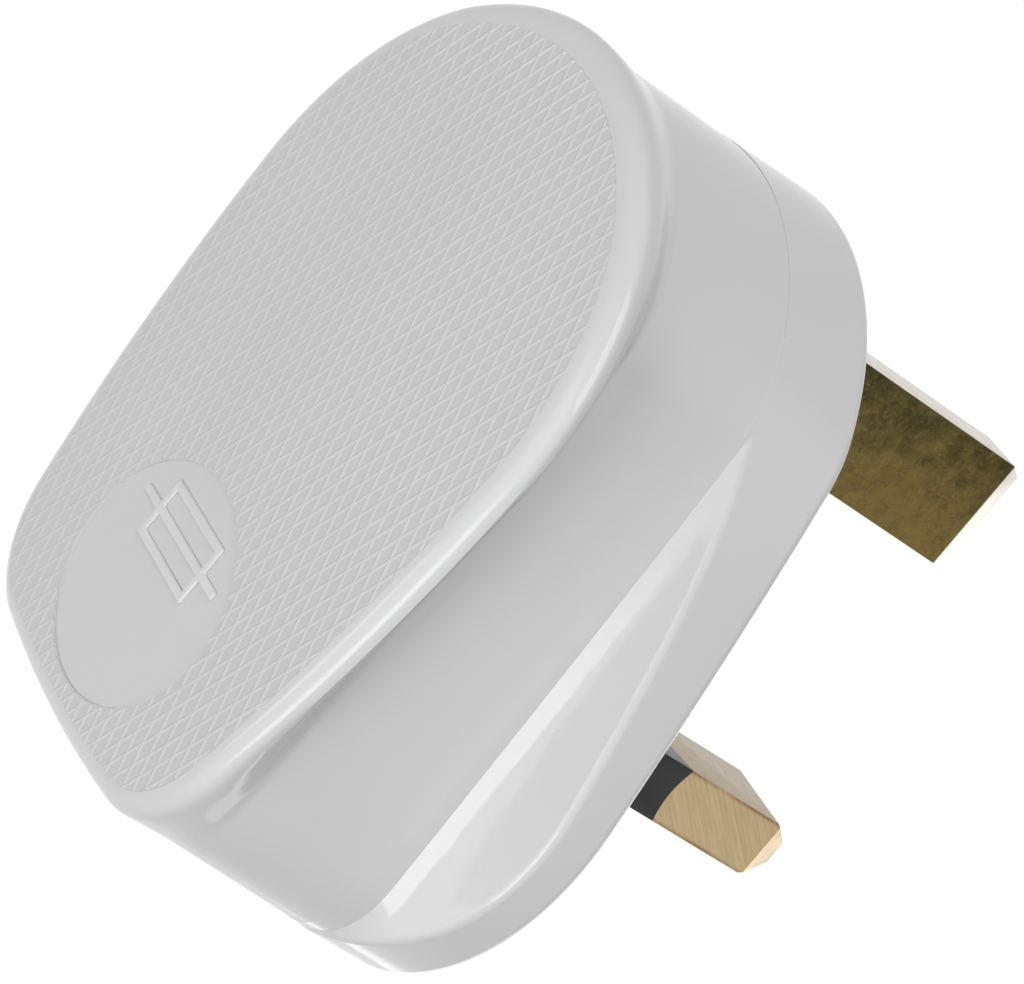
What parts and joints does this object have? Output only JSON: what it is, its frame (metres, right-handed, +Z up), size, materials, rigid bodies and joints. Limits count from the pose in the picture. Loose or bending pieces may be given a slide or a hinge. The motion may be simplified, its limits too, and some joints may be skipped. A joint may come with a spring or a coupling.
{
  "type": "uk three pin plug",
  "caption": "Rewirable UK mains plug with rectangular brass pins, black pin sleeves, a cartridge fuse inside and finger scoops under a rimmed back.",
  "frame": {"origin": "on the pin face, midway between the live and neutral pins", "axes": "+Y along the pins into the wall, +Z up towards the earth pin, +X towards the live pin"},
  "size_m": [0.0474, 0.0439, 0.0523],
  "materials": {
    "body": "gloss moulded",
    "brass": "drawn and lightly worn",
    "sleeve": "semi-gloss moulded",
    "screw": "plated",
    "clip": "pressed strip",
    "ceramic": "matt",
    "fuse_cap": "plated",
    "fibre": "matt"
  },
  "bodies": {
    "root": {"base": "body", "cover": "body", "earth_pin": "brass", "live_pin": "brass", "neutral_pin": "brass", "live_pin_sleeve": "sleeve", "neutral_pin_sleeve": "sleeve", "earth_terminal_screw": "screw", "neutral_terminal_screw": "screw", "live_terminal": "brass", "live_terminal_screw": "screw", "live_pin_fuse_clip": "clip", "live_terminal_fuse_clip": "clip", "fuse_barrel": "ceramic", "fuse_lower_cap": "fuse_cap", "fuse_upper_cap": "fuse_cap", "fuse_element": "fuse_cap", "cord_grip_bar": "fibre", "cord_grip_left_screw": "screw", "cord_grip_right_screw": "screw", "cover_screw": "screw", "cover_screw_washer": "fibre", "cover_screw_insert": "brass"}
  },
  "joints": []
}
